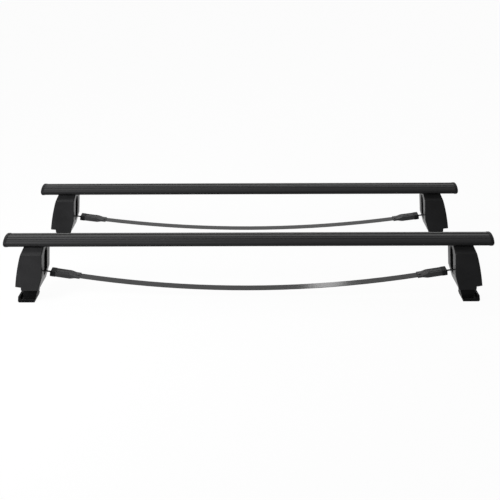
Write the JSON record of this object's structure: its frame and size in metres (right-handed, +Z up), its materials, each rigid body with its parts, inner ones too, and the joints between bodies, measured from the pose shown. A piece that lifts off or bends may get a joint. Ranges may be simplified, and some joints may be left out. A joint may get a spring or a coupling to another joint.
{
  "type": "roof rack",
  "caption": "Vehicle roof rack: black aero crossbars on covered feet whose claws hook under the side rails, drawn in by a steel strap under each bar.",
  "frame": {"origin": "on the standing surface, midway between the bars and between their ends", "axes": "+X along the bars to the right-hand end, +Y from the front bar to the rear bar, +Z up"},
  "size_m": [1.18, 0.518, 0.1688],
  "materials": {
    "bar_aluminium": "satin black anodised",
    "rubber": "matt",
    "band_steel": "dark grey satin",
    "dark_steel": "blackened",
    "black_plastic": "fine grain",
    "gloss_black": "gloss",
    "coated_steel": "black e-coat",
    "zinc_steel": "zinc plated",
    "claw_alloy": "black coated die casting",
    "grey_plastic": "satin"
  },
  "bodies": {
    "rack": {"front_bar": "bar_aluminium", "front_bar_strip": "rubber", "front_left_claw_pin": "dark_steel", "front_left_end_cap": "black_plastic", "front_left_foot_bolts": "zinc_steel", "front_left_foot_bracket": "coated_steel", "front_left_foot_cover": "gloss_black", "front_left_foot_nuts": "zinc_steel", "front_left_rail_pad": "rubber", "front_left_strap_ferrule": "black_plastic", "front_left_strap_sleeve": "grey_plastic", "front_right_claw_pin": "dark_steel", "front_right_end_cap": "black_plastic", "front_right_foot_bolts": "zinc_steel", "front_right_foot_bracket": "coated_steel", "front_right_foot_cover": "gloss_black", "front_right_foot_nuts": "zinc_steel", "front_right_rail_pad": "rubber", "front_right_strap_ferrule": "black_plastic", "front_right_strap_sleeve": "grey_plastic", "front_strap_band": "band_steel", "front_strap_rivets": "dark_steel", "rear_bar": "bar_aluminium", "rear_bar_strip": "rubber", "rear_left_claw_pin": "dark_steel", "rear_left_end_cap": "black_plastic", "rear_left_foot_bolts": "zinc_steel", "rear_left_foot_bracket": "coated_steel", "rear_left_foot_cover": "gloss_black", "rear_left_foot_nuts": "zinc_steel", "rear_left_rail_pad": "rubber", "rear_left_strap_ferrule": "black_plastic", "rear_left_strap_sleeve": "grey_plastic", "rear_right_claw_pin": "dark_steel", "rear_right_end_cap": "black_plastic", "rear_right_foot_bolts": "zinc_steel", "rear_right_foot_bracket": "coated_steel", "rear_right_foot_cover": "gloss_black", "rear_right_foot_nuts": "zinc_steel", "rear_right_rail_pad": "rubber", "rear_right_strap_ferrule": "black_plastic", "rear_right_strap_sleeve": "grey_plastic", "rear_strap_band": "band_steel", "rear_strap_rivets": "dark_steel"},
    "front_left_claw": {"front_left_claw": "claw_alloy"},
    "front_left_rod": {"front_left_tension_rod": "zinc_steel", "front_left_barrel_nut": "zinc_steel"},
    "front_right_claw": {"front_right_claw": "claw_alloy"},
    "front_right_rod": {"front_right_tension_rod": "zinc_steel", "front_right_barrel_nut": "zinc_steel"},
    "rear_left_claw": {"rear_left_claw": "claw_alloy"},
    "rear_left_rod": {"rear_left_tension_rod": "zinc_steel", "rear_left_barrel_nut": "zinc_steel"},
    "rear_right_claw": {"rear_right_claw": "claw_alloy"},
    "rear_right_rod": {"rear_right_tension_rod": "zinc_steel", "rear_right_barrel_nut": "zinc_steel"}
  },
  "joints": [
    {"name": "front_left_claw_tilt", "type": "hinge", "parent": "rack", "child": "front_left_claw", "pos_m": [-0.536, -0.21, 0.048], "axis": [0, 1, 0], "range_deg": [-6, 8]},
    {"name": "front_left_rod_draw", "type": "slide", "parent": "rack", "child": "front_left_rod", "axis": [0.9871, 0, -0.1604], "range_m": [-0.00332, 0.00439]},
    {"name": "front_right_claw_tilt", "type": "hinge", "parent": "rack", "child": "front_right_claw", "pos_m": [0.536, -0.21, 0.048], "axis": [0, -1, 0], "range_deg": [-6, 8]},
    {"name": "front_right_rod_draw", "type": "slide", "parent": "rack", "child": "front_right_rod", "axis": [-0.9871, 0, -0.1604], "range_m": [-0.00332, 0.00439]},
    {"name": "rear_left_claw_tilt", "type": "hinge", "parent": "rack", "child": "rear_left_claw", "pos_m": [-0.536, 0.21, 0.048], "axis": [0, 1, 0], "range_deg": [-6, 8]},
    {"name": "rear_left_rod_draw", "type": "slide", "parent": "rack", "child": "rear_left_rod", "axis": [0.9913, 0, -0.132], "range_m": [-0.00332, 0.00439]},
    {"name": "rear_right_claw_tilt", "type": "hinge", "parent": "rack", "child": "rear_right_claw", "pos_m": [0.536, 0.21, 0.048], "axis": [0, -1, 0], "range_deg": [-6, 8]},
    {"name": "rear_right_rod_draw", "type": "slide", "parent": "rack", "child": "rear_right_rod", "axis": [-0.9913, 0, -0.132], "range_m": [-0.00332, 0.00439]}
  ],
  "couplings": [
    {"joint": "front_left_rod_draw", "follows": "front_left_claw_tilt", "m_per_rad": 0.03073},
    {"joint": "front_right_rod_draw", "follows": "front_right_claw_tilt", "m_per_rad": 0.03073},
    {"joint": "rear_left_rod_draw", "follows": "rear_left_claw_tilt", "m_per_rad": 0.03073},
    {"joint": "rear_right_rod_draw", "follows": "rear_right_claw_tilt", "m_per_rad": 0.03073}
  ]
}
